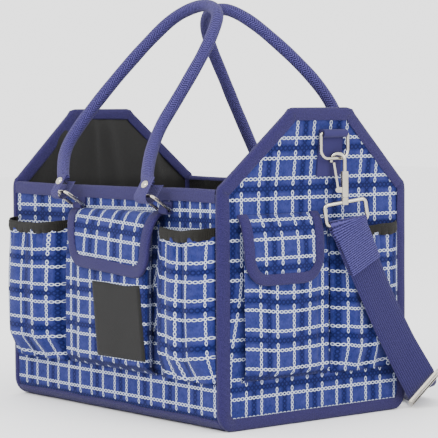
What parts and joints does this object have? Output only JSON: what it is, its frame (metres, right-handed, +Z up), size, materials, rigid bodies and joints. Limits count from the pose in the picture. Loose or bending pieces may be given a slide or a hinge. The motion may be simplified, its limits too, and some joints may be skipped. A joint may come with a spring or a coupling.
{
  "type": "cleaning caddy",
  "caption": "Soft-sided cleaning caddy in plaid cloth: open top, raised end panels, outside pockets, two rope handles on rings and a clip-on shoulder strap.",
  "frame": {"origin": "on the floor, under the middle of the caddy", "axes": "+X towards the right-hand end panel, -Y towards the front with the flapped centre pocket, +Z up"},
  "size_m": [0.4366, 0.3345, 0.4179],
  "materials": {
    "plaid_cloth": "matte",
    "lining": "matte",
    "binding": "matte",
    "elastic": "matte",
    "handle_webbing": "matte",
    "tab_webbing": "matte",
    "strap_webbing": "matte",
    "metal": "polished",
    "zip_tape": "matte",
    "patch": "satin"
  },
  "bodies": {
    "caddy": {"back_base_binding": "binding", "back_panel": "plaid_cloth", "back_ring_tabs": "tab_webbing", "back_top_binding": "binding", "back_zip_pocket": "plaid_cloth", "base_panel": "plaid_cloth", "front_base_binding": "binding", "front_center_pocket": "plaid_cloth", "front_flap_strip": "plaid_cloth", "front_left_elastic": "elastic", "front_left_pocket": "plaid_cloth", "front_panel": "plaid_cloth", "front_patch": "patch", "front_right_elastic": "elastic", "front_right_pocket": "plaid_cloth", "front_ring_tabs": "tab_webbing", "front_top_binding": "binding", "left_d_ring_tab": "tab_webbing", "left_end_binding": "binding", "left_end_panel": "plaid_cloth", "left_flap_pocket": "plaid_cloth", "left_flap_strip": "plaid_cloth", "left_gathered_elastic": "elastic", "left_gathered_pocket": "plaid_cloth", "left_inner_pocket": "lining", "lining": "lining", "right_d_ring_tab": "tab_webbing", "right_end_binding": "binding", "right_end_panel": "plaid_cloth", "right_flap_pocket": "plaid_cloth", "right_flap_strip": "plaid_cloth", "right_gathered_elastic": "elastic", "right_gathered_pocket": "plaid_cloth", "shoulder_strap": "strap_webbing", "strap_slider": "metal", "zip_tape": "zip_tape"},
    "front_rings": {"front_left_ring": "metal", "front_right_ring": "metal"},
    "front_handle": {"front_handle": "handle_webbing", "front_handle_rivets": "metal"},
    "back_rings": {"back_left_ring": "metal", "back_right_ring": "metal"},
    "back_handle": {"back_handle": "handle_webbing", "back_handle_rivets": "metal"},
    "front_flap": {"front_flap": "plaid_cloth", "front_flap_binding": "binding"},
    "right_flap": {"right_flap": "plaid_cloth", "right_flap_binding": "binding"},
    "left_flap": {"left_flap": "plaid_cloth", "left_flap_binding": "binding"},
    "right_strap_end": {"right_d_ring": "metal", "right_swivel_loop": "metal"},
    "right_hook": {"right_hook": "metal"},
    "right_hook_gate": {"right_hook_gate": "metal"},
    "left_strap_end": {"left_d_ring": "metal", "left_swivel_loop": "metal"},
    "left_hook": {"left_hook": "metal"},
    "left_hook_gate": {"left_hook_gate": "metal"},
    "zip_slider": {"zip_slider": "metal"},
    "zip_pull": {"zip_pull": "metal"}
  },
  "joints": [
    {"name": "front_ring_hinge", "type": "hinge", "parent": "caddy", "child": "front_rings", "pos_m": [0, -0.124, 0.207], "axis": [1, 0, 0], "range_deg": [0, 29]},
    {"name": "front_handle_hinge", "type": "hinge", "parent": "front_rings", "child": "front_handle", "pos_m": [0, -0.14774, 0.22184], "axis": [1, 0, 0], "range_deg": [0, 97]},
    {"name": "back_ring_hinge", "type": "hinge", "parent": "caddy", "child": "back_rings", "pos_m": [0, 0.124, 0.207], "axis": [-1, 0, 0], "range_deg": [0, 85]},
    {"name": "back_handle_hinge", "type": "hinge", "parent": "back_rings", "child": "back_handle", "pos_m": [0, 0.14774, 0.22184], "axis": [-1, 0, 0], "range_deg": [0, 88]},
    {"name": "front_flap_fold", "type": "hinge", "parent": "caddy", "child": "front_flap", "pos_m": [0.014, -0.137, 0.196], "axis": [-1, 0, 0], "range_deg": [0, 78]},
    {"name": "right_flap_fold", "type": "hinge", "parent": "caddy", "child": "right_flap", "pos_m": [0.186, -0.05, 0.196], "axis": [0, -1, 0], "range_deg": [0, 78]},
    {"name": "left_flap_fold", "type": "hinge", "parent": "caddy", "child": "left_flap", "pos_m": [-0.186, 0.05, 0.196], "axis": [0, 1, 0], "range_deg": [0, 78]},
    {"name": "right_strap_end_hinge", "type": "hinge", "parent": "caddy", "child": "right_strap_end", "pos_m": [0.187, 0.014, 0.28], "axis": [0, -1, 0], "range_deg": [0, 40]},
    {"name": "right_hook_swivel", "type": "hinge", "parent": "right_strap_end", "child": "right_hook", "pos_m": [0.1916, 0.0231, 0.23], "axis": [0, 0, 1], "range_deg": [0, 5]},
    {"name": "right_hook_gate_hinge", "type": "hinge", "parent": "right_hook", "child": "right_hook_gate", "pos_m": [0.18743, 0.01893, 0.225], "axis": [-0.7071, 0.7071, 0], "range_deg": [0, 9], "stiffness_Nm_per_rad": 0.02},
    {"name": "left_strap_end_hinge", "type": "hinge", "parent": "caddy", "child": "left_strap_end", "pos_m": [-0.187, -0.014, 0.28], "axis": [0, 1, 0], "range_deg": [0, 40]},
    {"name": "left_hook_swivel", "type": "hinge", "parent": "left_strap_end", "child": "left_hook", "pos_m": [-0.1916, -0.0231, 0.23], "axis": [0, 0, 1], "range_deg": [0, 5]},
    {"name": "left_hook_gate_hinge", "type": "hinge", "parent": "left_hook", "child": "left_hook_gate", "pos_m": [-0.18743, -0.01893, 0.225], "axis": [0.7071, -0.7071, 0], "range_deg": [0, 9], "stiffness_Nm_per_rad": 0.02},
    {"name": "zip_slide", "type": "slide", "parent": "caddy", "child": "zip_slider", "axis": [-1, 0, 0], "range_m": [0, 0.3]},
    {"name": "zip_pull_hinge", "type": "hinge", "parent": "zip_slider", "child": "zip_pull", "pos_m": [0.155, 0.135, 0.174], "axis": [1, 0, 0], "range_deg": [0, 90]}
  ]
}
